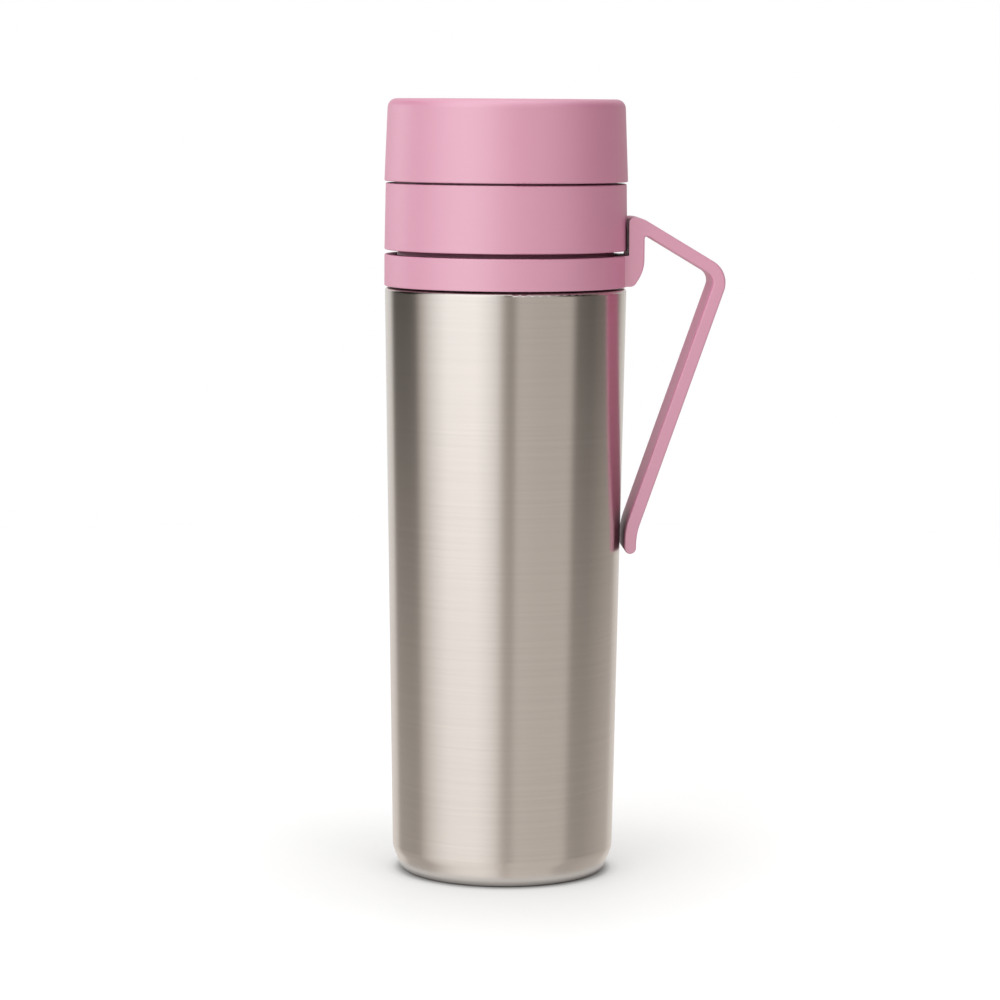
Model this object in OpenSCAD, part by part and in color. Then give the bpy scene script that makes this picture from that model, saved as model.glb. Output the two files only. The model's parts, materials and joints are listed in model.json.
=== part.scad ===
// Insulated stainless steel drinking bottle with a screw lid, a top cap over a drinking spout,
// and a carry collar whose open, angular handle stands beside the lid.
// Millimetres, +Z up, origin at the middle of the foot, handle towards +X.
// A lid or cap turned counter-clockwise, seen from above, unscrews and rises.

/* [Overall] */
// Height of the closed bottle
total_h = 234; // [200:0.1:260]
// Radius of the steel body at its shoulder
body_top_r = 36.4; // [32:0.1:40]
// Radius that the straight taper would have at the floor
body_foot_r = 33.4; // [28:0.1:38]
// Height of the steel shoulder, under the collar
shoulder_z = 177.5; // [150:0.1:200]

/* [Vacuum flask] */
// Sheet thickness of the outer shell
shell_wall = 0.5; // [0.4:0.1:1]
// Sheet thickness of the inner liner
liner_wall = 0.4; // [0.3:0.1:1]
// Width of the vacuum between the shell and the liner
vacuum_gap = 2.5; // [1.5:0.1:4]
// Height at which the wall starts to draw in towards the foot
bevel_z = 7; // [5:0.5:10]
// Radius at which the drawn-in wall would meet the floor
bevel_foot_r = 30.9; // [30:0.1:32]
// Inside radius of the flat ring that the bottle stands on
foot_ring_in_r = 25.2; // [20:0.1:27]
// Height of the underside of the liner
liner_bottom_z = 11; // [9:0.5:20]
// Outside radius of the neck
neck_r = 29.4; // [25:0.1:31]
// Sheet thickness of the neck, where the thread is rolled
neck_wall = 0.9; // [0.6:0.1:1.5]
// Height of the lip of the neck
lip_z = 203; // [190:0.1:206]
// Radius of the mouth
mouth_r = 27.4; // [20:0.1:28.2]

/* [Collar and handle] */
// Underside of the collar
collar_z = 178; // [170:0.1:190]
// Height of the collar ring
collar_h = 9.5; // [6:0.1:14]
// Outside radius of the collar, lid and cap
trim_r = 36.55; // [32:0.05:40]
// Thickness of the handle strap, seen from the side
strap_t = 3.85; // [3:0.05:7]
// Width of the handle strap, across
strap_w = 20; // [10:0.5:24]
// Centre of the handle's outer bend, from the bottle's axis
bend_x = 58; // [50:0.1:70]
// Height of the centre of the handle's outer bend
bend_z = 179.55; // [160:0.05:195]
// Inside radius of the handle's outer bend
bend_in_r = 3.65; // [1:0.05:8]
// Slope of the upper arm, below the horizontal
upper_slope = 30.8; // [10:0.1:50]
// Lean of the lower arm, from the vertical
lower_lean = 19.24; // [5:0.01:40]
// Top of the handle's upright
upright_top_z = 199; // [190:0.1:208]
// Outer face of the handle's upright
upright_out_x = 41.05; // [39:0.05:46]
// Bottom of the handle's foot
strap_foot_z = 97.7; // [80:0.1:120]
// Inner face of the handle's foot
strap_foot_in_x = 35.9; // [35.5:0.1:40]
// Outer face of the handle's foot
strap_foot_out_x = 39.4; // [38:0.05:44]

/* [Lid] */
// Underside of the lid's outer skirt
lid_z = 188.9; // [180:0.1:195]
// Top edge of the lid's outer skirt
lid_top_z = 208.8; // [200:0.1:215]
// Outside radius of the lid at its top edge
lid_top_r = 36.2; // [32:0.05:40]
// Lower end of the inner threaded skirt
lid_skirt_z = 182.4; // [181:0.1:188]
// Inside radius of the drinking spout
spout_in_r = 21.8; // [15:0.1:24]
// Outside radius of the drinking spout
spout_r = 24.4; // [18:0.1:26]
// Rim of the drinking spout
spout_top_z = 224; // [215:0.1:228]

/* [Cap] */
// Underside of the cap
cap_z = 209.4; // [200:0.1:215]
// Radius at which the cap's side would meet its top
cap_top_r = 35.6; // [32:0.05:40]
// Radius of the cap's top edge
cap_edge_r = 2.8; // [1:0.1:8]
// Wall thickness of the moulded outer parts
trim_wall = 2.1; // [1.5:0.1:3]

/* [Strainer] */
// Outside radius of the strainer cup
strainer_r = 22.9; // [18:0.1:24]
// Bottom of the strainer cup
strainer_z = 152; // [120:1:180]
// Radius of one strainer hole
strainer_hole_r = 1.5; // [0.8:0.1:2.5]
// Holes in one row round the cup
holes_a_row = 14; // [6:1:24]
// Rows of holes
hole_rows = 4; // [1:1:8]

/* [Screw threads] */
// Rise of a thread in one turn
thread_lead = 8; // [4:0.5:12]
// Height of a thread ridge above its wall
thread_h = 1; // [0.6:0.1:2]
// Axial width of a ridge where it leaves its wall
thread_foot_w = 2; // [1:0.1:3]
// Axial width of a ridge at its crest
thread_crest_w = 1; // [0.5:0.1:2]

/* [Fits] */
// Gap between a ridge and the wall that it faces
thread_gap = 0.4; // [0.2:0.05:0.8]
// Gap between pieces that turn or slide past each other
run_gap = 0.3; // [0.2:0.05:0.6]
// Gap between pieces that are fixed together
set_gap = 0.05; // [0.02:0.01:0.2]

/* [Hidden] */
$fn = 96;
taper = (body_top_r - body_foot_r) / shoulder_z;
function shell_r(z) = body_foot_r + taper * z;
function liner_r(z) = shell_r(z) - shell_wall - vacuum_gap;

neck_fillet_r = 0.8;
shoulder_edge_r = 1;
bevel_edge_r = 6;
foot_edge_r = 3;
foot_flange_z = 3;
liner_shoulder_z = 170;
liner_corner_r = 9;
lip_t = 0.5;
base_plate_z = 7.4;
base_plate_t = 0.6;
base_plate_r = 32.8;
port_r = 1.2;
getter_r = 4;
getter_h = 2;
getter_x = 11;
foil_t = 0.15;
sheet_t = 0.5;

strainer_rim_h = 5;

starts = 2;
pitch = thread_lead / starts;
neck_thread_z = 190.6;
spout_thread_z = 211;
thread_turns = 1.1;
thread_step = 10;
// share of the full ridge height at a ridge's two ends, and the steps that it takes to grow
ridge_end = 0.55;
ridge_fade = 3;
ridge_root = 0.35;

strap_out_r = bend_in_r + strap_t;
upright_edge_r = 7;
arm_fillet_r = 0.7;
gusset_r = 11;
gusset_h = 4.9;
gusset_x = 38;
gusset_foot_r = 2.2;
gusset_lift = 0.3;
foot_bend_r = 20;
lid_clear_r = trim_r + 1.2;
upright_in_r = 1.5;
collar_wall = 3.15;
collar_flange_t = 2.6;
collar_clip_t = 1;
edge_r = 0.35;

insert_wall = 1.4;
insert_in_r = neck_r + thread_h + thread_gap;
insert_r = insert_in_r + insert_wall;
seal_h = 1.6;
flange_t = 1.05;
flange_z = lip_z + run_gap + seal_h + run_gap;
deck_hub_z = 211;
plug_out_r = mouth_r - 0.4;
plug_in_r = 25.4;
plug_z = 197;
spout_foot_h = 1.2;
shell_inset = trim_r - trim_wall;

cap_insert_wall = 1.8;
cap_insert_in_r = spout_r + thread_h + thread_gap;
cap_insert_r = cap_insert_in_r + cap_insert_wall;
cap_insert_z = 212.5;
cap_disc_z = 226.5;
cap_disc_t = 1.8;
cap_roof_z = total_h - trim_wall;
cap_boss_r = spout_in_r - 0.8;
cap_boss_wall = 2.4;
cap_boss_z = 222;

// Corners of a rectangle in the radius and height plane
function band(r0, r1, z0, z1) = [[r0, z0], [r1, z0], [r1, z1], [r0, z1]];

// Outline whose corners are [x, y, radius], counter-clockwise. Each rounded corner is a true arc.
module rounded(corners) {
    n = len(corners);
    function at(i) = let (c = corners[(i + n) % n]) [c[0], c[1]];
    function unit(v) = v / norm(v);
    // radius, turn (above 0 where the corner is convex), one end of the arc, the corner, the arc's other
    // end, and its centre
    function fitted(i) =
        let (p = at(i), r = corners[i][2], a = unit(at(i - 1) - p), b = unit(at(i + 1) - p))
        let (half = acos(a * b) / 2, run = r / tan(half))
        [r, cross(b, a), p + a * run, p, p + b * run, p + unit(a + b) * r / sin(half)];
    // what lies between an arc and its chord
    module segment(f) {
        intersection() {
            translate(f[5])
                circle(f[0]);
            polygon([f[2], f[3], f[4]]);
        }
    }
    fits = [for (i = [0:n - 1]) if (corners[i][2] > 0) fitted(i)];
    path = [for (i = [0:n - 1]) each corners[i][2] > 0 ? [fitted(i)[2], fitted(i)[4]] : [at(i)]];
    difference() {
        union() {
            polygon(path);
            for (f = fits)
                if (f[1] > 0)
                    segment(f);
        }
        for (f = fits)
            if (f[1] < 0)
                segment(f);
    }
}

// A solid of revolution from the outline of its section
module turned(corners) {
    rotate_extrude()
        rounded(corners);
}

module ring(r0, r1, z0, z1) {
    rotate_extrude()
        polygon(band(r0, r1, z0, z1));
}

// One helical ridge. wall_r is the wall that it grows from, side is 1 outwards and -1 inwards.
module ridge(wall_r, side, z0, first_angle) {
    steps = round(thread_turns * 360 / thread_step);
    root = wall_r - side * ridge_root;
    function grown(i) = min(1, ridge_end + (1 - ridge_end) * min(i, steps - i) / ridge_fade);
    function place(i, r, dz) =
        let (a = first_angle + i * thread_step)
        [r * cos(a), r * sin(a), z0 + thread_lead * i * thread_step / 360 + dz];
    function section(i) =
        let (crest = wall_r + side * thread_h * grown(i))
        [
            place(i, root, -thread_foot_w / 2),
            place(i, crest, -thread_crest_w / 2),
            place(i, crest, thread_crest_w / 2),
            place(i, root, thread_foot_w / 2)
        ];
    points = [for (i = [0:steps]) each section(i)];
    sides = [
        for (i = [0:steps - 1], j = [0:3])
            let (a = 4 * i + j, b = 4 * i + (j + 1) % 4)
            each [[a, b, b + 4], [a, b + 4, a + 4]]
    ];
    end = 4 * steps;
    caps = [[2, 1, 0], [3, 2, 0], [end, end + 1, end + 2], [end, end + 2, end + 3]];
    faces = concat(sides, caps);
    polyhedron(points, side > 0 ? faces : [for (f = faces) [f[2], f[1], f[0]]], convexity = 6);
}

// All the starts of a thread whose helix passes helix_z towards +X, and whose ridges begin rise above that
module thread(wall_r, side, helix_z, rise = 0) {
    for (s = [0:starts - 1])
        ridge(wall_r, side, helix_z + rise, 360 * (rise / thread_lead + s / starts));
}

// Everything inside the shell's outer face, moved inwards by inset
module shell_outline(inset) {
    // slope of the drawn-in wall, and its radius where it would meet the floor
    slope = (shell_r(bevel_z) - bevel_foot_r) / bevel_z;
    foot_r = bevel_foot_r - inset * sqrt(1 + slope * slope);
    turn_z = (shell_r(0) - inset - foot_r) / (slope - taper);
    rounded([
        [0, inset, 0],
        [foot_r + slope * inset, inset, foot_edge_r - inset],
        [foot_r + slope * turn_z, turn_z, bevel_edge_r - inset],
        [body_top_r - inset, shoulder_z - inset, shoulder_edge_r - inset],
        [0, shoulder_z - inset, 0]
    ]);
}

// Steel outer shell, from the lip of the neck to the foot ring
module outer_shell() {
    t = shell_wall;
    f = neck_fillet_r;
    neck_in_r = neck_r - neck_wall;
    color([0.78, 0.76, 0.73])
    union() {
        rotate_extrude()
        union() {
            difference() {
                shell_outline(0);
                shell_outline(t);
                polygon(band(0, foot_ring_in_r, -1, 1));
                polygon(band(0, neck_in_r, shoulder_z - 1, shoulder_z + 1));
            }
            polygon(band(foot_ring_in_r, foot_ring_in_r + t, 0, foot_flange_z));
            polygon(band(neck_in_r, neck_r, shoulder_z - t, lip_z - lip_t));
            difference() {
                polygon(band(neck_r - t, neck_r + f, shoulder_z - t, shoulder_z + f));
                translate([neck_r + f, shoulder_z + f])
                    circle(f);
            }
        }
        thread(neck_r, 1, neck_thread_z);
    }
}

// Everything inside the liner's outer face, up to the lip, moved inwards by inset
module liner_outline(inset) {
    neck = mouth_r + liner_wall;
    turn_r = liner_r(liner_shoulder_z) - neck - 0.5;
    rounded([
        [0, liner_bottom_z + inset, 0],
        [liner_r(liner_bottom_z) - inset, liner_bottom_z + inset, liner_corner_r - inset],
        [liner_r(liner_shoulder_z) - inset, liner_shoulder_z - inset, turn_r - inset],
        [neck - inset, liner_shoulder_z - inset, 0],
        [neck - inset, lip_z + inset, 0],
        [0, lip_z + inset, 0]
    ]);
}

// Steel inner liner, with the lip that is welded over the top of the neck
module inner_liner() {
    color([0.72, 0.71, 0.7])
    rotate_extrude()
    union() {
        difference() {
            liner_outline(0);
            liner_outline(liner_wall);
        }
        polygon(band(mouth_r, neck_r, lip_z - lip_t, lip_z));
    }
}

// Metal foil wrapped round the liner inside the vacuum, which stops radiated heat
module radiation_foil() {
    low_z = 26;
    high_z = 158;
    gap = 0.3;
    color([0.8, 0.62, 0.45])
    turned([
        [liner_r(low_z) + gap, low_z, 0],
        [liner_r(low_z) + gap + foil_t, low_z, 0],
        [liner_r(high_z) + gap + foil_t, high_z, 0],
        [liner_r(high_z) + gap, high_z, 0]
    ]);
}

// Pellet that takes up the last gas inside the vacuum
module getter() {
    color([0.3, 0.3, 0.32])
    translate([getter_x, 0, liner_bottom_z - set_gap - getter_h])
        cylinder(r = getter_r, h = getter_h);
}

// Bent strip that holds the pellet against the underside of the liner
module getter_clip() {
    strip_w = 4;
    t = 0.3;
    foot_len = 3;
    half_len = getter_r + set_gap + t;
    top_z = liner_bottom_z - set_gap;
    low_z = top_z - getter_h - set_gap - t;
    color([0.7, 0.7, 0.7])
    translate([getter_x, strip_w / 2, 0])
    rotate([90, 0, 0])
        linear_extrude(strip_w)
        difference() {
            union() {
                translate([-half_len, low_z])
                    square([2 * half_len, top_z - low_z]);
                translate([-half_len - foot_len, top_z - t])
                    square([2 * (half_len + foot_len), t]);
            }
            translate([-getter_r - set_gap, low_z + t])
                square([2 * (getter_r + set_gap), getter_h + 2]);
        }
}

// Pressed disc welded inside the bottom of the shell, with the evacuation port
module base_plate() {
    rim_h = 4;
    color([0.72, 0.71, 0.7])
    difference() {
        union() {
            ring(0, base_plate_r, base_plate_z, base_plate_z + base_plate_t);
            ring(base_plate_r - base_plate_t, base_plate_r, base_plate_z, base_plate_z + rim_h);
        }
        translate([0, 0, base_plate_z - 1])
            cylinder(r = port_r, h = 3);
    }
}

// Glass solder bead that closes the evacuation port
module vacuum_seal() {
    bead_r = 4;
    bead_h = 1.1;
    top_z = base_plate_z - set_gap;
    color([0.35, 0.4, 0.42])
    turned([
        [0, top_z - bead_h, 0],
        [bead_r, top_z - bead_h, 0.5],
        [bead_r, top_z, 0],
        [port_r - set_gap, top_z, 0],
        [port_r - set_gap, base_plate_z + base_plate_t, 0],
        [0, base_plate_z + base_plate_t, 0]
    ]);
}

// Shallow pressed cover inside the foot ring
module base_cover() {
    r = foot_ring_in_r - set_gap;
    t = shell_wall;
    step_r = 18;
    step_h = 0.7;
    low_z = 1.2;
    color([0.75, 0.74, 0.72])
    turned([
        [0, low_z + step_h, 0],
        [step_r, low_z + step_h, 0],
        [step_r + 1, low_z, 0],
        [r, low_z, 1],
        [r, foot_flange_z, 0],
        [r - t, foot_flange_z, 0],
        [r - t, low_z + t, 1 - t],
        [step_r + 1, low_z + t, 0],
        [step_r, low_z + step_h + t, 0],
        [0, low_z + step_h + t, 0]
    ]);
}

// Split ring on the neck that keeps the collar down on the shoulder
module collar_clip() {
    z = collar_z - 0.2 + collar_flange_t + run_gap;
    gap_w = 6;
    color([0.7, 0.7, 0.7])
    difference() {
        ring(neck_r + set_gap, neck_r + 2.1, z, z + collar_clip_t);
        translate([-neck_r - 5, -gap_w / 2, z - 1])
            cube([10, gap_w, 3]);
    }
}

// Side outline of the handle: upright, sloping arm, outer bend, leaning arm and foot
module handle_outline() {
    // directions square to the two arms, pointing out of the loop
    up = 90 - upper_slope;
    down = -lower_lean;
    half = (up - down) / 2;
    middle = (up + down) / 2;
    // where the face of an arm, r out from the bend's centre, meets a height or a distance from the axis
    function face_x(r, a, z) = bend_x + (r - (z - bend_z) * sin(a)) / cos(a);
    function face_z(r, a, x) = bend_z + (r - (x - bend_x) * cos(a)) / sin(a);
    function bend(r) = [bend_x + r / cos(half) * cos(middle), bend_z + r / cos(half) * sin(middle), r];
    inner_x = trim_r - 2;
    tip_r = (strap_foot_out_x - strap_foot_in_x) / 2;
    tip_z = strap_foot_z + tip_r;
    low_z = strap_foot_z - 1;
    gusset_z = collar_z + gusset_lift;
    difference() {
        rounded([
            [inner_x, tip_z, 0],
            [strap_foot_out_x, tip_z, 0],
            [strap_foot_out_x, face_z(strap_out_r, down, strap_foot_out_x), foot_bend_r],
            bend(strap_out_r),
            [face_x(strap_out_r, up, upright_top_z), upright_top_z, upright_edge_r],
            [inner_x, upright_top_z, 0]
        ]);
        rounded([
            [inner_x - 1, low_z, 0],
            [strap_foot_in_x, low_z, 0],
            [strap_foot_in_x, face_z(bend_in_r, down, strap_foot_in_x), foot_bend_r],
            bend(bend_in_r),
            [upright_out_x, face_z(bend_in_r, up, upright_out_x), arm_fillet_r],
            [upright_out_x, gusset_z + gusset_h, gusset_r],
            [gusset_x, gusset_z, gusset_foot_r],
            [inner_x - 1, gusset_z, 0]
        ]);
        polygon(band(inner_x - 1, strap_foot_in_x, low_z, collar_z));
    }
    translate([strap_foot_in_x + tip_r, tip_z])
        circle(tip_r);
}

// Moulded collar: the ring round the neck and the handle, in one piece
module carry_collar() {
    top_z = collar_z + collar_h;
    wall_in_r = trim_r - collar_wall;
    bore_r = neck_r + run_gap + 0.1;
    low_z = collar_z - 0.2;
    color([0.86, 0.63, 0.71])
    difference() {
        union() {
            turned([
                [bore_r, low_z + 1.4, 0],
                [bore_r + 1.4, low_z, 0],
                [wall_in_r, low_z, 0],
                [wall_in_r + 0.4, collar_z, 0],
                [trim_r, collar_z, edge_r],
                [trim_r, top_z, edge_r],
                [wall_in_r, top_z, 0],
                [wall_in_r, low_z + collar_flange_t, 0],
                [bore_r, low_z + collar_flange_t, 0]
            ]);
            translate([0, strap_w / 2, 0])
            rotate([90, 0, 0])
                linear_extrude(strap_w)
                handle_outline();
        }
        turned([
            [0, top_z, 0],
            [lid_clear_r, top_z, 0],
            [lid_clear_r, upright_top_z, upright_in_r],
            [lid_clear_r + 5, upright_top_z, 0],
            [lid_clear_r + 5, upright_top_z + 1, 0],
            [0, upright_top_z + 1, 0]
        ]);
    }
}

// Silicone ring between the lip of the neck and the lid
module lid_seal() {
    bead = 0.5;
    r0 = plug_out_r + run_gap;
    r1 = neck_r + 1;
    z0 = lip_z + run_gap;
    z1 = z0 + seal_h;
    color([0.93, 0.93, 0.92])
    turned([[r0, z0, bead], [r1, z0, bead], [r1, z1, bead], [r0, z1, bead]]);
}

// Outer moulding of the lid: skirt, deck and the low hub that centres the cap
module lid_shell() {
    hub_in_r = 28.5;
    hub_r = 33.3;
    deck_z = flange_z + flange_t + set_gap;
    color([0.86, 0.63, 0.71])
    turned([
        [shell_inset, lid_z, 0],
        [trim_r, lid_z, edge_r],
        [lid_top_r, lid_top_z, edge_r],
        [hub_r, lid_top_z, 0],
        [hub_r, deck_hub_z, edge_r],
        [hub_in_r, deck_hub_z, 0],
        [hub_in_r, lid_top_z, 0],
        [spout_r + set_gap, lid_top_z, 0],
        [spout_r + set_gap, deck_z, 0],
        [shell_inset, deck_z, 0]
    ]);
}

// Drinking spout, with the cap's thread and the foot that holds it under the flange
module drinking_spout() {
    rim_r = (spout_r - spout_in_r) / 2 - 0.1;
    foot_z = flange_z - spout_foot_h;
    color([0.86, 0.63, 0.71])
    union() {
        turned([
            [spout_in_r, foot_z, 0],
            [plug_in_r - set_gap, foot_z, 0],
            [plug_in_r - set_gap, flange_z - set_gap, 0],
            [spout_r, flange_z - set_gap, 0],
            [spout_r, spout_top_z, rim_r],
            [spout_in_r, spout_top_z, rim_r]
        ]);
        thread(spout_r, 1, spout_thread_z);
    }
}

// Flange that presses the seal on the lip, and the plug that centres the lid inside the neck
module neck_plug() {
    color([0.66, 0.43, 0.51])
    turned([
        [plug_in_r, plug_z, 0],
        [plug_out_r, plug_z, 0.4],
        [plug_out_r, flange_z, 0],
        [shell_inset - set_gap, flange_z, 0],
        [shell_inset - set_gap, flange_z + flange_t, 0],
        [spout_r + set_gap, flange_z + flange_t, 0],
        [spout_r + set_gap, flange_z, 0],
        [plug_in_r, flange_z, 0]
    ]);
}

// Inner threaded skirt that screws on the neck, with the web that closes the lid shell below
module lid_insert() {
    web_z = lid_z + 0.3;
    web_t = 1.8;
    low_r = insert_r + 0.6;
    color([0.66, 0.43, 0.51])
    union() {
        turned([
            [insert_in_r, lid_skirt_z, 0],
            [low_r, lid_skirt_z, 0.4],
            [low_r, lid_z - 1.5, 0],
            [insert_r, lid_z, 0],
            [insert_r, web_z, 0],
            [shell_inset - set_gap, web_z, 0],
            [shell_inset - set_gap, web_z + web_t, 0],
            [insert_r, web_z + web_t, 0],
            [insert_r, flange_z - set_gap, 0],
            [insert_in_r, flange_z - set_gap, 0]
        ]);
        thread(insert_in_r, -1, neck_thread_z + pitch / 2);
    }
}

// Ring that holds the strainer inside the lid's plug, with a lip to pull it out by
module strainer_rim() {
    in_r = strainer_r + set_gap;
    out_r = plug_in_r - run_gap - 0.1;
    lip_r = mouth_r - 0.7;
    lip_h = 0.8;
    low_z = plug_z - run_gap - lip_h;
    color([0.93, 0.93, 0.92])
    turned([
        [in_r, low_z, 0.3],
        [lip_r, low_z, 0.3],
        [lip_r, low_z + lip_h, 0.3],
        [out_r, low_z + lip_h, 0],
        [out_r, low_z + strainer_rim_h, 0.3],
        [in_r, low_z + strainer_rim_h, 0]
    ]);
}

// Perforated steel cup that keeps ice and tea leaves back
module strainer_cup() {
    t = sheet_t;
    foot_r = 5;
    top_z = plug_z - run_gap - 0.8 + strainer_rim_h + set_gap;
    row_gap = 8;
    floor_rings = 2;
    module outline(inset) {
        rounded([
            [0, strainer_z + inset, 0],
            [strainer_r - inset, strainer_z + inset, foot_r - inset],
            [strainer_r - inset, top_z + t + inset, 0],
            [0, top_z + t + inset, 0]
        ]);
    }
    color([0.78, 0.77, 0.75])
    difference() {
        rotate_extrude()
        union() {
            difference() {
                outline(0);
                outline(t);
            }
            polygon(band(strainer_r - t, strainer_r + 1.6, top_z, top_z + t));
        }
        for (row = [0:hole_rows - 1], i = [0:holes_a_row - 1])
            rotate([0, 0, (i + (row % 2) / 2) * 360 / holes_a_row])
            translate([strainer_r - 3, 0, strainer_z + foot_r + 5 + row * row_gap])
            rotate([0, 90, 0])
                cylinder(r = strainer_hole_r, h = 6, $fn = 24);
        for (k = [1:floor_rings], i = [0:6 * k - 1])
            rotate([0, 0, i * 60 / k])
            translate([k * 6.5, 0, strainer_z - 1])
                cylinder(r = strainer_hole_r, h = 4, $fn = 24);
        translate([0, 0, strainer_z - 1])
            cylinder(r = strainer_hole_r, h = 4, $fn = 24);
    }
}

// Silicone ring between the rim of the spout and the cap
module cap_seal() {
    bead = 0.5;
    r0 = cap_boss_r + run_gap;
    r1 = spout_r + 0.7;
    z0 = spout_top_z + run_gap;
    z1 = cap_disc_z - run_gap;
    color([0.93, 0.93, 0.92])
    turned([[r0, z0, bead], [r1, z0, bead], [r1, z1, bead], [r0, z1, bead]]);
}

// Outer moulding of the cap
module cap_shell() {
    inner_edge_r = cap_edge_r - trim_wall + 0.6;
    color([0.86, 0.63, 0.71])
    turned([
        [shell_inset, cap_z, 0],
        [trim_r + 0.05, cap_z, edge_r],
        [cap_top_r, total_h, cap_edge_r],
        [0, total_h, 0],
        [0, cap_roof_z, 0],
        [cap_top_r - trim_wall, cap_roof_z, inner_edge_r]
    ]);
}

// Threaded wall of the cap, with the web that closes the cap shell below
module cap_insert() {
    web_t = 1.5;
    web_r = shell_inset - 0.25;
    color([0.93, 0.93, 0.92])
    union() {
        turned([
            [cap_insert_in_r, cap_insert_z, 0],
            [web_r, cap_insert_z, 0],
            [web_r, cap_insert_z + web_t, 0],
            [cap_insert_r, cap_insert_z + web_t, 0],
            [cap_insert_r, cap_disc_z - set_gap, 0],
            [cap_insert_in_r, cap_disc_z - set_gap, 0]
        ]);
        thread(cap_insert_in_r, -1, spout_thread_z + pitch / 2, 1.4);
    }
}

// Disc that closes the cap below, with the boss that enters the spout and holds the seal
module cap_plug() {
    disc_r = cap_top_r - trim_wall - 0.15;
    boss_in_r = cap_boss_r - cap_boss_wall;
    color([0.93, 0.93, 0.92])
    turned([
        [0, cap_disc_z, 0],
        [boss_in_r, cap_disc_z, 0],
        [boss_in_r, cap_boss_z, 0.6],
        [cap_boss_r, cap_boss_z, 0.6],
        [cap_boss_r, cap_disc_z, 0],
        [disc_r, cap_disc_z, 0],
        [disc_r, cap_disc_z + cap_disc_t, 0],
        [0, cap_disc_z + cap_disc_t, 0]
    ]);
}

// Steel disc under the cap, inside the boss, which faces the drink
module cap_plate() {
    r = cap_boss_r - cap_boss_wall - set_gap;
    color([0.78, 0.77, 0.75])
    ring(0, r, cap_disc_z - set_gap - sheet_t, cap_disc_z - set_gap);
}

// Insulating foam disc between the cap's two mouldings
module cap_foam() {
    color([0.95, 0.95, 0.93])
    ring(0, cap_top_r - trim_wall - 1.9, cap_disc_z + cap_disc_t + set_gap, cap_roof_z - set_gap);
}

outer_shell();
inner_liner();
radiation_foil();
getter();
getter_clip();
base_plate();
vacuum_seal();
base_cover();
collar_clip();
carry_collar();
lid_seal();
lid_shell();
drinking_spout();
neck_plug();
lid_insert();
strainer_rim();
strainer_cup();
cap_seal();
cap_shell();
cap_insert();
cap_plug();
cap_plate();
cap_foam();
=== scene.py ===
"""Looks of an insulated steel drinking bottle with a moulded pink lid, cap and carry collar."""
import json
import math

import bmesh
import bpy
from mathutils import Matrix, Vector


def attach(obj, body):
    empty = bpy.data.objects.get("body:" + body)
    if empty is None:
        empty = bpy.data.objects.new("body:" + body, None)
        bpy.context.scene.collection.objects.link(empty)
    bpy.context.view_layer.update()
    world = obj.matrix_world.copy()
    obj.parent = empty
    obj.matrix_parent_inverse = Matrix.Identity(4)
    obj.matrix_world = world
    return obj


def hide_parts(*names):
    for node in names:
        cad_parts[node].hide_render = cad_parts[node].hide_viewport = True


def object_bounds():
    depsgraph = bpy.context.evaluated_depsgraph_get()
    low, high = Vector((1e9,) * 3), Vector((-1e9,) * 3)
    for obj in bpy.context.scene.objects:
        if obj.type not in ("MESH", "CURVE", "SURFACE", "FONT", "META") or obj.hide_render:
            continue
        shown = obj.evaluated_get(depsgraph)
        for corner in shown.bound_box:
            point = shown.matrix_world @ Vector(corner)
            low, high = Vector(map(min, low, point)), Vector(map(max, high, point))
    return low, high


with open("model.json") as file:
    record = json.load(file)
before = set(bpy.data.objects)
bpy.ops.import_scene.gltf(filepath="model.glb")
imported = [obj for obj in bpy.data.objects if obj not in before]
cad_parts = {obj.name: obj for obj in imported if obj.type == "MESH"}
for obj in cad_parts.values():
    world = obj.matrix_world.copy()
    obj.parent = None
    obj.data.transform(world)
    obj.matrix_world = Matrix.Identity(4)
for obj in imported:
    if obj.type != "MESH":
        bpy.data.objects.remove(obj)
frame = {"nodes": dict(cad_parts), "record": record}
cad_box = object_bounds()

MM = 0.001
nodes = frame["nodes"]


# ---------------------------------------------------------------- materials

# The values that most of a noise lies between
NOISE_LOW = 0.3
NOISE_HIGH = 0.7

# Painted shade in the seams and gaps between the pieces: how far off a facing surface darkens a moulding's
# colour, the shares of open sky that count as closed and as open, and the colour's share that is left where
# it is closed
SEAM_REACH = 4 * MM
SEAM_CLOSED = 0.1
SEAM_OPEN = 0.55
SEAM_SHADE_SHARE = 0.42
SEAM_SAMPLES = 8
# The specular level of a moulding where it is closed and where it is open, so that the painted shade dims its
# shine too
CLOSED_SHINE = 0.1
OPEN_SHINE = 0.5

# How shiny the handle is on the faces that look at the body, and how much lighter its colour is painted there
# for the light the steel throws on them, as shares of its other faces
INSIDE_SHINE = 0.3
INSIDE_PAINTED_LIGHT = 1.2
# The X of the normals between which a face starts to look at the body and wholly does
INSIDE_FROM = -0.3
INSIDE_TO = -0.8
# Where the handle starts, along X, and how far it takes for the change to be complete
HANDLE_FROM = 37 * MM
HANDLE_FADE = 1 * MM


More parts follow.
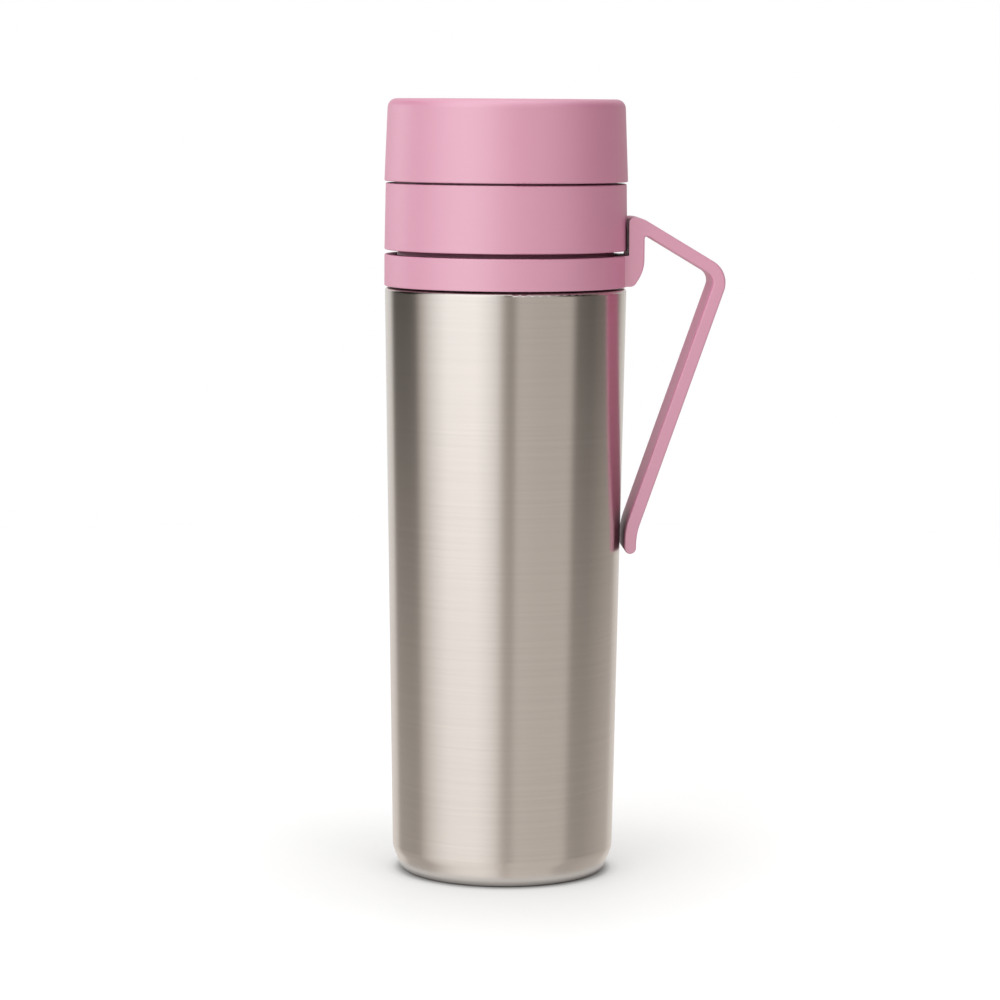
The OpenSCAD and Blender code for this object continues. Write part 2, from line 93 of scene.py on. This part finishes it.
class Graph:
    """A node tree, and short helpers that add nodes to it."""

    def __init__(self, tree):
        self.tree = tree

    def add(self, kind, **settings):
        node = self.tree.nodes.new(kind)
        for name, value in settings.items():
            setattr(node, name, value)
        return node

    def link(self, output, socket):
        self.tree.links.new(output, socket)

    def multiply(self, first, second):
        product = self.add("ShaderNodeMath", operation="MULTIPLY")
        self.link(first, product.inputs[0])
        self.link(second, product.inputs[1])
        return product.outputs[0]

    def negate(self, value, **settings):
        product = self.add("ShaderNodeMath", operation="MULTIPLY", **settings)
        product.inputs[1].default_value = -1.0
        self.link(value, product.inputs[0])
        return product.outputs[0]

    def ramp(self, value, stops):
        """A colour that follows value through the stops, each (position, colour)."""
        scale = self.add("ShaderNodeValToRGB")
        elements = scale.color_ramp.elements
        while len(elements) < len(stops):
            elements.new(0.5)
        for element, (position, colour) in zip(elements, stops):
            element.position = position
            element.color = (*colour, 1.0)
        self.link(value, scale.inputs["Fac"])
        return scale.outputs["Color"]


class Surface(Graph):
    """A material with a Principled shader."""

    def __init__(self, name, colour, roughness, metallic=0.0, **sockets):
        self.material = bpy.data.materials.new(name)
        self.material.use_nodes = True
        super().__init__(self.material.node_tree)
        self.shader = self.tree.nodes["Principled BSDF"]
        self.set("Base Color", (*colour, 1.0))
        self.set("Roughness", roughness)
        self.set("Metallic", metallic)
        for label, value in sockets.items():
            self.set(label.replace("_", " "), value)

    def set(self, label, value):
        self.shader.inputs[label].default_value = value

    def place(self, stretch):
        """The point on the object, with its axes scaled so that a noise is stretched along the small ones."""
        where = self.add("ShaderNodeTexCoord")
        scaled = self.add("ShaderNodeMapping")
        scaled.inputs["Scale"].default_value = stretch
        self.link(where.outputs["Object"], scaled.inputs["Vector"])
        return scaled.outputs["Vector"]

    def noise(self, stretch, detail=2.0):
        """A noise from 0 to 1. stretch is how many grains there are in a metre along each axis."""
        texture = self.add("ShaderNodeTexNoise")
        texture.inputs["Scale"].default_value = 1.0
        texture.inputs["Detail"].default_value = detail
        self.link(self.place(stretch), texture.inputs["Vector"])
        return texture.outputs["Fac"]

    def remap(self, value, low, high, start=NOISE_LOW, end=NOISE_HIGH):
        """value, from start to end, spread over low to high."""
        spread = self.add("ShaderNodeMapRange")
        spread.inputs["From Min"].default_value = start
        spread.inputs["From Max"].default_value = end
        spread.inputs["To Min"].default_value = low
        spread.inputs["To Max"].default_value = high
        self.link(value, spread.inputs["Value"])
        return spread.outputs["Result"]

    def tint(self, value, low, high):
        """A base colour that goes from low to high as a noise's value does."""
        self.link(self.ramp(value, [(NOISE_LOW, low), (NOISE_HIGH, high)]), self.shader.inputs["Base Color"])

    def scale_colour(self, share):
        """Less or more of the base colour, which has to be linked already."""
        socket = self.shader.inputs["Base Color"]
        scaled = self.add("ShaderNodeMix", data_type="RGBA", blend_type="MULTIPLY")
        scaled.inputs["Factor"].default_value = 1.0
        self.link(socket.links[0].from_socket, scaled.inputs["A"])
        self.link(share, scaled.inputs["B"])
        self.link(scaled.outputs["Result"], socket)

    def paint_seam_shade(self, reach):
        """Painted shade: less colour and less shine where another surface faces this one from closer than
        reach.
        """
        shelter = self.add("ShaderNodeAmbientOcclusion", samples=SEAM_SAMPLES)
        shelter.inputs["Distance"].default_value = reach
        share = self.remap(shelter.outputs["AO"], SEAM_SHADE_SHARE, 1.0, SEAM_CLOSED, SEAM_OPEN)
        self.scale_colour(share)
        shine = self.remap(share, CLOSED_SHINE, OPEN_SHINE, SEAM_SHADE_SHARE, 1.0)
        self.link(shine, self.shader.inputs["Specular IOR Level"])

    def paint_inside_bounce(self, from_axis):
        """Painted light: a lighter colour and less shine on the faces that look back at the bottle's axis
        from further than from_axis along X, standing in for the light that the steel throws on them. The
        painted seam shade comes first."""
        where = self.add("ShaderNodeTexCoord")
        sides = []
        for output, start, end in (("Normal", INSIDE_FROM, INSIDE_TO),
                                   ("Object", from_axis, from_axis + HANDLE_FADE)):
            split = self.add("ShaderNodeSeparateXYZ")
            self.link(where.outputs[output], split.inputs["Vector"])
            sides.append(self.remap(split.outputs["X"], 0.0, 1.0, start, end))
        inside = self.multiply(sides[0], sides[1])
        socket = self.shader.inputs["Specular IOR Level"]
        dulled = self.remap(inside, 1.0, INSIDE_SHINE, 0.0, 1.0)
        self.link(self.multiply(socket.links[0].from_socket, dulled), socket)
        # Painted light: the colour of those faces made lighter, for the light the steel throws on them
        self.scale_colour(self.remap(inside, 1.0, INSIDE_PAINTED_LIGHT, 0.0, 1.0))

    def vary_roughness(self, value, low, high):
        self.link(self.remap(value, low, high), self.shader.inputs["Roughness"])

    def bumps(self, *layers):
        """Bump layers, each (height, depth in metres)."""
        normal = None
        for height, depth in layers:
            bump = self.add("ShaderNodeBump")
            bump.inputs["Strength"].default_value = 1.0
            bump.inputs["Distance"].default_value = depth
            self.link(height, bump.inputs["Height"])
            if normal:
                self.link(normal, bump.inputs["Normal"])
            normal = bump.outputs["Normal"]
        self.link(normal, self.shader.inputs["Normal"])


def shade(colour, factor):
    return tuple(channel * factor for channel in colour)


# Grains in a metre: along the brushed lines, and of the clouds in their roughness along X, Y and Z
LINE_GRAINS = 45
CLOUD_GRAINS = (14, 14, 9)
# How deep the fine and the coarse brushed lines are
FINE_LINES = 0.0004 * MM
COARSE_LINES = 0.00024 * MM
# How dark and how light the coarse lines are, as shares of the steel's colour
DARK_LINE = 0.98
LIGHT_LINE = 1.016
# How much smoother and rougher the clouds are than the steel
CLOUD_SMOOTHER = 0.02
CLOUD_ROUGHER = 0.03
# A quarter turn, so that the highlight is stretched across the lines
ACROSS_THE_LINES = 0.25


def brushed_steel(name, colour, roughness, lines_a_metre, anisotropic):
    """Steel turned against a belt, so that its fine lines run round the axis."""
    steel = Surface(name, colour, roughness, metallic=1.0, Anisotropic=anisotropic,
                    Anisotropic_Rotation=ACROSS_THE_LINES)
    tangent = steel.add("ShaderNodeTangent", direction_type="RADIAL", axis="Z")
    steel.link(tangent.outputs["Tangent"], steel.shader.inputs["Tangent"])
    fine = steel.noise((LINE_GRAINS, LINE_GRAINS, lines_a_metre))
    coarse = steel.noise((LINE_GRAINS / 2, LINE_GRAINS / 2, lines_a_metre / 4))
    cloud = steel.noise(CLOUD_GRAINS)
    steel.tint(coarse, shade(colour, DARK_LINE), shade(colour, LIGHT_LINE))
    steel.vary_roughness(cloud, roughness - CLOUD_SMOOTHER, roughness + CLOUD_ROUGHER)
    steel.bumps((fine, FINE_LINES), (coarse, COARSE_LINES))
    return steel.material


# Higher than a real plastic's, for the broad sheen of a soft-touch coating
PLASTIC_IOR = 3.1
# Grains in a metre, depth, and how far roughness or colour goes either way, of the spark-eroded grain
# and of the slow waves of the plastic's flow
GRAIN = (4200, 4200, 4200)
GRAIN_DEPTH = 0.006 * MM
GRAIN_ROUGHNESS = 0.03
FLOW = (22, 22, 30)
FLOW_DEPTH = 0.02 * MM
FLOW_TINT = 0.015


def moulded_plastic(name, colour, roughness, bounce_from=None):
    """Soft-touch moulded plastic with a fine spark-eroded grain, with painted shade in the seams between the
    pieces, and painted light on a handle's faces that look at the body when a distance along X is given.
    """
    plastic = Surface(name, colour, roughness, IOR=PLASTIC_IOR)
    grain = plastic.noise(GRAIN)
    flow = plastic.noise(FLOW)
    plastic.tint(flow, shade(colour, 1 - FLOW_TINT), shade(colour, 1 + FLOW_TINT))
    # Painted shade in the seams and gaps between the pieces
    plastic.paint_seam_shade(SEAM_REACH)
    # Painted light on the handle's faces that look at the body, from the given distance along X
    if bounce_from:
        plastic.paint_inside_bounce(bounce_from)
    plastic.vary_roughness(grain, roughness - GRAIN_ROUGHNESS, roughness + GRAIN_ROUGHNESS)
    plastic.bumps((grain, GRAIN_DEPTH), (flow, FLOW_DEPTH))
    return plastic.material


RUBBER_ROUGHNESS = 0.5
DUST = (900, 900, 900)
DUST_DEPTH = 0.008 * MM
DUST_ROUGHNESS = 0.08
DUST_DARK = 0.96
DUST_LIGHT = 1.02


def silicone(name, colour):
    """Slightly translucent rubber with a dusty skin. The solder bead's glass is made of it as well."""
    rubber = Surface(name, colour, RUBBER_ROUGHNESS, Subsurface_Weight=0.2, Subsurface_Scale=2 * MM)
    dust = rubber.noise(DUST, detail=3)
    rubber.tint(dust, shade(colour, DUST_DARK), shade(colour, DUST_LIGHT))
    rubber.vary_roughness(dust, RUBBER_ROUGHNESS - DUST_ROUGHNESS, RUBBER_ROUGHNESS + DUST_ROUGHNESS)
    rubber.bumps((dust, DUST_DEPTH))
    return rubber.material


FOAM_ROUGHNESS = 0.9
BEADS = (600, 600, 600)
BEAD_DEPTH = 0.2 * MM
# Shares of the colour in each bead's middle and at its edges, darker there as painted shade between the beads
BEAD_MIDDLE = 1.05
BEAD_EDGE_SHADE = 0.85


def expanded_foam(name, colour):
    """Matt foam of pressed beads. The getter's sintered pellet is made of it as well."""
    foam = Surface(name, colour, FOAM_ROUGHNESS)
    beads = foam.add("ShaderNodeTexVoronoi")
    beads.inputs["Scale"].default_value = 1.0
    foam.link(foam.place(BEADS), beads.inputs["Vector"])
    # Painted shade: lighter in each bead's middle and darker towards its edges, where the beads meet
    foam.tint(beads.outputs["Distance"], shade(colour, BEAD_MIDDLE), shade(colour, BEAD_EDGE_SHADE))
    foam.bumps((beads.outputs["Distance"], BEAD_DEPTH))
    return foam.material


PINK = (0.55, 0.184, 0.308)
STEEL = (0.70, 0.66, 0.625)
LINER_STEEL = (0.70, 0.68, 0.66)
WHITE = (0.82, 0.81, 0.79)

# The material of each of the record's slots
finishes = {
    "brushed_shell": brushed_steel("brushed_shell_steel", STEEL, 0.22, 5200, 0.6),
    "polished_liner": brushed_steel("liner_steel", LINER_STEEL, 0.22, 3000, 0.3),
    "base_steel": brushed_steel("base_steel", (0.66, 0.63, 0.60), 0.33, 3600, 0.5),
    "foil": brushed_steel("copper_foil", (0.80, 0.47, 0.30), 0.2, 900, 0.0),
    "getter_pellet": expanded_foam("sintered_getter", (0.09, 0.09, 0.1)),
    "spring_strip": brushed_steel("spring_strip_steel", (0.6, 0.59, 0.58), 0.3, 2400, 0.3),
    "solder_bead": silicone("glass_solder", (0.13, 0.16, 0.18)),
    "pink_moulding": moulded_plastic("pink_soft_touch", PINK, 0.5),
    "pink_inner": moulded_plastic("pink_inner_moulding", shade(PINK, 0.93), 0.42),
    "silicone": silicone("seal_silicone", WHITE),
    "strainer_plastic": moulded_plastic("strainer_plastic", WHITE, 0.4),
    "strainer_steel": brushed_steel("strainer_steel", LINER_STEEL, 0.24, 2600, 0.2),
    "foam": expanded_foam("cap_foam_beads", WHITE),
}
for part in frame["record"]["subparts"]:
    mesh = nodes[part["node"]].data
    mesh.materials.clear()
    mesh.materials.append(finishes[part["material_slot"]])


# ---------------------------------------------------------------- the collar, with softened handle edges

HANDLE_EDGE = 0.6 * MM
EDGE_SEGMENTS = 5
# Points closer than this are one, and triangles within this angle are one face
WELD = 0.001 * MM
FLAT_ANGLE = math.radians(0.3)
# Edges turned by more than this stay sharp
SHARP_ANGLE = math.radians(35)
# How square to Y a face is, and how far from the strap's edge it may be, to count as its flat side
SQUARE = 0.999
AT_THE_EDGE = 0.01 * MM
# The rounding grows along the root of the handle, outside the ring, between these distances from the axis
ROOT_FROM = 36.9 * MM
ROOT_TO = 39.5 * MM
ROOT_LOW = 170 * MM


def roll_over(shape, side):
    """Roll one flat side of the handle over into the broad faces round it. side is the flat face."""
    normal = side.normal.copy()
    edge = list(side.verts)
    points = [vert.co.copy() for vert in edge]
    count = len(edge)
    inward = []
    depth = []
    for i, point in enumerate(points):
        before = normal.cross(point - points[i - 1]).normalized()
        after = normal.cross(points[(i + 1) % count] - point).normalized()
        inward.append((before + after) / (1 + before.dot(after)))
        grown = (point.x - ROOT_FROM) / (ROOT_TO - ROOT_FROM) if point.z > ROOT_LOW else 1.0
        depth.append(HANDLE_EDGE * min(max(grown, 0.0), 1.0))
    shape.faces.remove(side)
    ring = edge
    for step in range(EDGE_SEGMENTS + 1):
        turn = math.pi / 2 * step / EDGE_SEGMENTS
        across, below = 1 - math.cos(turn), 1 - math.sin(turn)
        places = [point + (inward[i] * across - normal * below) * depth[i] for i, point in enumerate(points)]
        if step == 0:
            for vert, place in zip(edge, places):
                vert.co = place
            continue
        following = [shape.verts.new(place) for place in places]
        for i in range(count):
            shape.faces.new((ring[i - 1], ring[i], following[i], following[i - 1]))
        ring = following
    shape.faces.new(ring)


def make_collar():
    """The collar as the CAD has it, with the long edges of its handle strap rounded off."""
    node = nodes["carry_collar"]
    shape = bmesh.new()
    shape.from_mesh(node.data)
    bmesh.ops.remove_doubles(shape, verts=shape.verts, dist=WELD)
    bmesh.ops.dissolve_limit(shape, angle_limit=FLAT_ANGLE, verts=shape.verts, edges=shape.edges)
    # Half the strap's width, at the handle's outermost millimetre
    half = max(abs(vert.co.y) for vert in shape.verts if vert.co.x > cad_box[1].x - MM)
    for side in [face for face in shape.faces if abs(face.normal.y) > SQUARE
                 and abs(abs(face.calc_center_median().y) - half) < AT_THE_EDGE]:
        roll_over(shape, side)
    bmesh.ops.remove_doubles(shape, verts=shape.verts, dist=WELD)
    mesh = bpy.data.meshes.new("collar_moulding")
    shape.to_mesh(mesh)
    shape.free()
    mesh.shade_smooth()
    mesh.set_sharp_from_angle(angle=SHARP_ANGLE)
    # The collar's moulding has painted light on the handle's faces that look at the body
    mesh.materials.append(moulded_plastic("pink_collar_soft_touch", PINK, 0.5, HANDLE_FROM))
    collar = bpy.data.objects.new("collar_moulding", mesh)
    bpy.context.scene.collection.objects.link(collar)
    weighted = collar.modifiers.new("flat_faces", "WEIGHTED_NORMAL")
    weighted.keep_sharp = True
    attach(collar, "collar")
    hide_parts("carry_collar")
    return collar


# ---------------------------------------------------------------- stage, light and camera

# The camera stands a little towards the handle's back, so the handle points slightly away from it.
# Its place is in metres, its angles are in radians, and its sensor and lens are in millimetres
CAMERA_TURN = math.radians(2.85)
CAMERA_DISTANCE = 1.0679
CAMERA_HEIGHT = 0.2316
CAMERA_LEFT = 0.0013
CAMERA_PITCH = 0.1106
CAMERA_ROLL = 0.0061
SENSOR = 36.0
FOCAL_LENGTH = 127.46
CLIP_START = 0.05
CLIP_END = 30.0

back = Vector((-math.sin(CAMERA_TURN), -math.cos(CAMERA_TURN), 0.0))
right = Vector((math.cos(CAMERA_TURN), -math.sin(CAMERA_TURN), 0.0))


def make_camera():
    """A long lens that looks a little down at the bottle, slightly rolled, as the photograph's does."""
    look = -back * math.cos(CAMERA_PITCH) - Vector((0, 0, math.sin(CAMERA_PITCH)))
    up = right.cross(look)
    across = right * math.cos(CAMERA_ROLL) + up * math.sin(CAMERA_ROLL)
    above = up * math.cos(CAMERA_ROLL) - right * math.sin(CAMERA_ROLL)
    data = bpy.data.cameras.new("camera")
    data.sensor_width = SENSOR
    data.lens = FOCAL_LENGTH
    data.clip_start = CLIP_START
    data.clip_end = CLIP_END
    camera = bpy.data.objects.new("camera", data)
    bpy.context.scene.collection.objects.link(camera)
    turn = Matrix((across, above, -look)).transposed().to_4x4()
    place = back * CAMERA_DISTANCE - right * CAMERA_LEFT + Vector((0, 0, CAMERA_HEIGHT))
    camera.matrix_world = Matrix.Translation(place) @ turn
    bpy.context.scene.camera = camera


# The sweep's edge is white against a white backdrop, so it doesn't show
FLOOR_RADIUS = 900 * MM
# The part of the floor close enough for the foot to mirror it
MIRRORED_RADIUS = 34.5 * MM
FLOOR_SEGMENTS = 96
# How white the floor glows at each radius in millimetres: it dims towards the foot's contact, a painted
# contact shadow
FLOOR_GLOW_AND_SHADOW = [
    (29.5, 0.0), (31.5, 0.08), (33.5, 0.35), (36, 0.435),
    (43, 0.475), (57, 0.51), (85, 0.575), (110, 0.61),
]
GLOW_REACH = 120 * MM
PAPER_GREY = 0.45


def make_floor_paper():
    """Matt paper that glows, the more so the further from the bottle's axis, so that the dimmer glow near the
    foot is a painted contact shadow.
    """
    paper = Surface("white_sweep", (PAPER_GREY,) * 3, 0.6, Specular_IOR_Level=0.2)
    paper.set("Emission Color", (1.0, 1.0, 1.0, 1.0))
    place = paper.add("ShaderNodeTexCoord")
    reach = paper.add("ShaderNodeVectorMath", operation="LENGTH")
    paper.link(place.outputs["Object"], reach.inputs[0])
    share = paper.add("ShaderNodeMath", operation="DIVIDE")
    share.inputs[1].default_value = GLOW_REACH
    paper.link(reach.outputs["Value"], share.inputs[0])
    # Painted contact shadow: the glow dims towards the foot
    stops = [(radius * MM / GLOW_REACH, (level,) * 3) for radius, level in FLOOR_GLOW_AND_SHADOW]
    paper.link(paper.ramp(share.outputs[0], stops), paper.shader.inputs["Emission Strength"])
    return paper.material


def make_floor():
    """A disc that the foot mirrors, and a wide ring round it that nothing mirrors."""
    paper = make_floor_paper()
    inner = bmesh.new()
    bmesh.ops.create_circle(inner, cap_ends=True, segments=FLOOR_SEGMENTS, radius=MIRRORED_RADIUS)
    outer = bmesh.new()
    near = bmesh.ops.create_circle(outer, segments=FLOOR_SEGMENTS, radius=MIRRORED_RADIUS)["verts"]
    far = bmesh.ops.create_circle(outer, segments=FLOOR_SEGMENTS, radius=FLOOR_RADIUS)["verts"]
    for i in range(FLOOR_SEGMENTS):
        outer.faces.new((near[i], near[i - 1], far[i - 1], far[i]))
    outer.normal_update()
    for name, shape, mirrored in (("floor_near", inner, True), ("floor_far", outer, False)):
        for face in shape.faces:
            if face.normal.z < 0:
                face.normal_flip()
        mesh = bpy.data.meshes.new(name)
        shape.to_mesh(mesh)
        shape.free()
        mesh.materials.append(paper)
        floor = bpy.data.objects.new(name, mesh)
        bpy.context.scene.collection.objects.link(floor)
        floor.visible_glossy = mirrored


# What the room shows at the bottle's height, by degrees round from the camera, right is positive:
# a bright softbox on the left, a narrow gap at the camera, a dimmer card on the right, and a dark
# room between the cards and the white backdrop
ROOM = [
    (-180, 0.85), (-144, 0.80), (-134, 0.03), (-104, 0.00), (-96, 0.02), (-88, 0.50), (-74, 0.98),
    (-58, 1.36), (-28, 1.42), (-16, 1.20), (-7, 0.92), (-1, 0.38), (3, 0.20), (8, 0.20),
    (12, 0.56), (30, 0.50), (50, 0.48), (66, 0.50), (73, 0.02), (92, 0.00), (104, 0.08),
    (124, 0.22), (138, 0.27), (147, 0.62), (180, 0.85),
]
# How far the white sweep takes over from the room, by the sine of the angle below the horizon
SWEEP = [
    (0.0, 0.0), (0.055, 0.0), (0.085, 0.10), (0.113, 0.23),
    (0.14, 0.39), (0.17, 0.54), (0.20, 0.60), (0.35, 0.62),
]
SWEEP_COLOUR = (0.80, 0.735, 0.675)
CEILING_COLOUR = (1.25, 1.25, 1.25)
# Sines of the heights between which the room gives way to the ceiling
CEILING_FROM = 0.64
CEILING_TO = 0.97


# The green and the blue of the dimmest light in the room, as shares of its red
DIM_GREEN = 0.87
DIM_BLUE = 0.74


def warm(level):
    """The colour of a part of the room: the dimmer it is, the warmer."""
    bright = min(level, 1.0)
    return (level, *(level * (dim + (1 - dim) * bright) for dim in (DIM_GREEN, DIM_BLUE)))


def fade_to(studio, share, first, colour):
    """first, which gives way to colour as share goes from 0 to 1."""
    mixed = studio.add("ShaderNodeMix", data_type="RGBA")
    mixed.inputs["B"].default_value = (*colour, 1.0)
    studio.link(share, mixed.inputs["Factor"])
    studio.link(first, mixed.inputs["A"])
    return mixed.outputs["Result"]


def make_studio():
    """A room that lights and is mirrored, with the sweep below and the ceiling above, and a plain white
    backdrop for the camera."""
    world = bpy.data.worlds.new("studio")
    world.use_nodes = True
    studio = Graph(world.node_tree)
    studio.tree.nodes.clear()
    where = studio.add("ShaderNodeTexCoord")
    turned = studio.add("ShaderNodeMapping")
    turned.inputs["Rotation"].default_value = (0, 0, CAMERA_TURN)
    split = studio.add("ShaderNodeSeparateXYZ")
    studio.link(where.outputs["Generated"], turned.inputs["Vector"])
    studio.link(turned.outputs["Vector"], split.inputs["Vector"])
    angle = studio.add("ShaderNodeMath", operation="ARCTAN2")
    studio.link(split.outputs["X"], angle.inputs[0])
    studio.link(studio.negate(split.outputs["Y"]), angle.inputs[1])
    turn = studio.add("ShaderNodeMath", operation="MULTIPLY_ADD")
    turn.inputs[1].default_value = 1 / (2 * math.pi)
    turn.inputs[2].default_value = 0.5
    studio.link(angle.outputs[0], turn.inputs[0])
    room = studio.ramp(turn.outputs[0], [(degrees / 360 + 0.5, warm(level)) for degrees, level in ROOM])
    below = studio.negate(split.outputs["Z"], use_clamp=True)
    sweep = studio.ramp(below, [(sine, (share,) * 3) for sine, share in SWEEP])
    high = studio.add("ShaderNodeMapRange", interpolation_type="SMOOTHSTEP")
    high.inputs["From Min"].default_value = CEILING_FROM
    high.inputs["From Max"].default_value = CEILING_TO
    studio.link(split.outputs["Z"], high.inputs["Value"])
    whole = fade_to(studio, sweep, room, SWEEP_COLOUR)
    whole = fade_to(studio, high.outputs["Result"], whole, CEILING_COLOUR)
    light = studio.add("ShaderNodeBackground")
    studio.link(whole, light.inputs["Color"])
    backdrop = studio.add("ShaderNodeBackground")
    backdrop.inputs["Color"].default_value = (1.0, 1.0, 1.0, 1.0)
    seen = studio.add("ShaderNodeLightPath")
    either = studio.add("ShaderNodeMixShader")
    output = studio.add("ShaderNodeOutputWorld")
    studio.link(seen.outputs["Is Camera Ray"], either.inputs["Fac"])
    studio.link(light.outputs[0], either.inputs[1])
    studio.link(backdrop.outputs[0], either.inputs[2])
    studio.link(either.outputs[0], output.inputs["Surface"])
    bpy.context.scene.world = world


# In metres
SOFTBOX_SIZE = 0.8
SOFTBOX_DISTANCE = 1.5
# Each lamp's name, azimuth and elevation in degrees, watts, whether things mirror it, and whether it
# lights the mouldings alone. The last two bring out the mouldings' rims, and the steel keeps its dark bands
LAMPS = [
    ("left_softbox", -30, 30, 4.2, False, False),
    ("right_softbox", 36, 30, 4.2, False, False),
    ("rim_softbox", -118, 10, 3.0, True, True),
    ("top_softbox", -80, 62, 5.0, False, True),
]


def make_softbox(name, azimuth, elevation, watts):
    """A round softbox that faces the bottle's middle. Its azimuth is in degrees round from the camera,
    right is positive."""
    data = bpy.data.lights.new(name, "AREA")
    data.shape = "DISK"
    data.size = SOFTBOX_SIZE
    data.energy = watts
    lamp = bpy.data.objects.new(name, data)
    bpy.context.scene.collection.objects.link(lamp)
    turn, rise = math.radians(azimuth), math.radians(elevation)
    level = back * math.cos(turn) + right * math.sin(turn)
    out = level * math.cos(rise) + Vector((0, 0, math.sin(rise)))
    middle = Vector((0, 0, (cad_box[0].z + cad_box[1].z) / 2))
    lamp.location = middle + out * SOFTBOX_DISTANCE
    lamp.rotation_mode = "QUATERNION"
    lamp.rotation_quaternion = out.to_track_quat("Z", "Y")
    return lamp


def make_lamps(collar):
    """The softboxes, and the collection of pink pieces that two of them light."""
    mouldings = bpy.data.collections.new("mouldings")
    for part in frame["record"]["subparts"]:
        if part["material_slot"].startswith("pink"):
            mouldings.objects.link(nodes[part["node"]])
    mouldings.objects.link(collar)
    for name, azimuth, elevation, watts, mirrored, mouldings_alone in LAMPS:
        lamp = make_softbox(name, azimuth, elevation, watts)
        lamp.visible_glossy = mirrored
        if mouldings_alone:
            lamp.light_linking.receiver_collection = mouldings


collar = make_collar()
make_camera()
make_floor()
make_studio()
make_lamps(collar)
bpy.context.scene.view_settings.view_transform = "Standard"
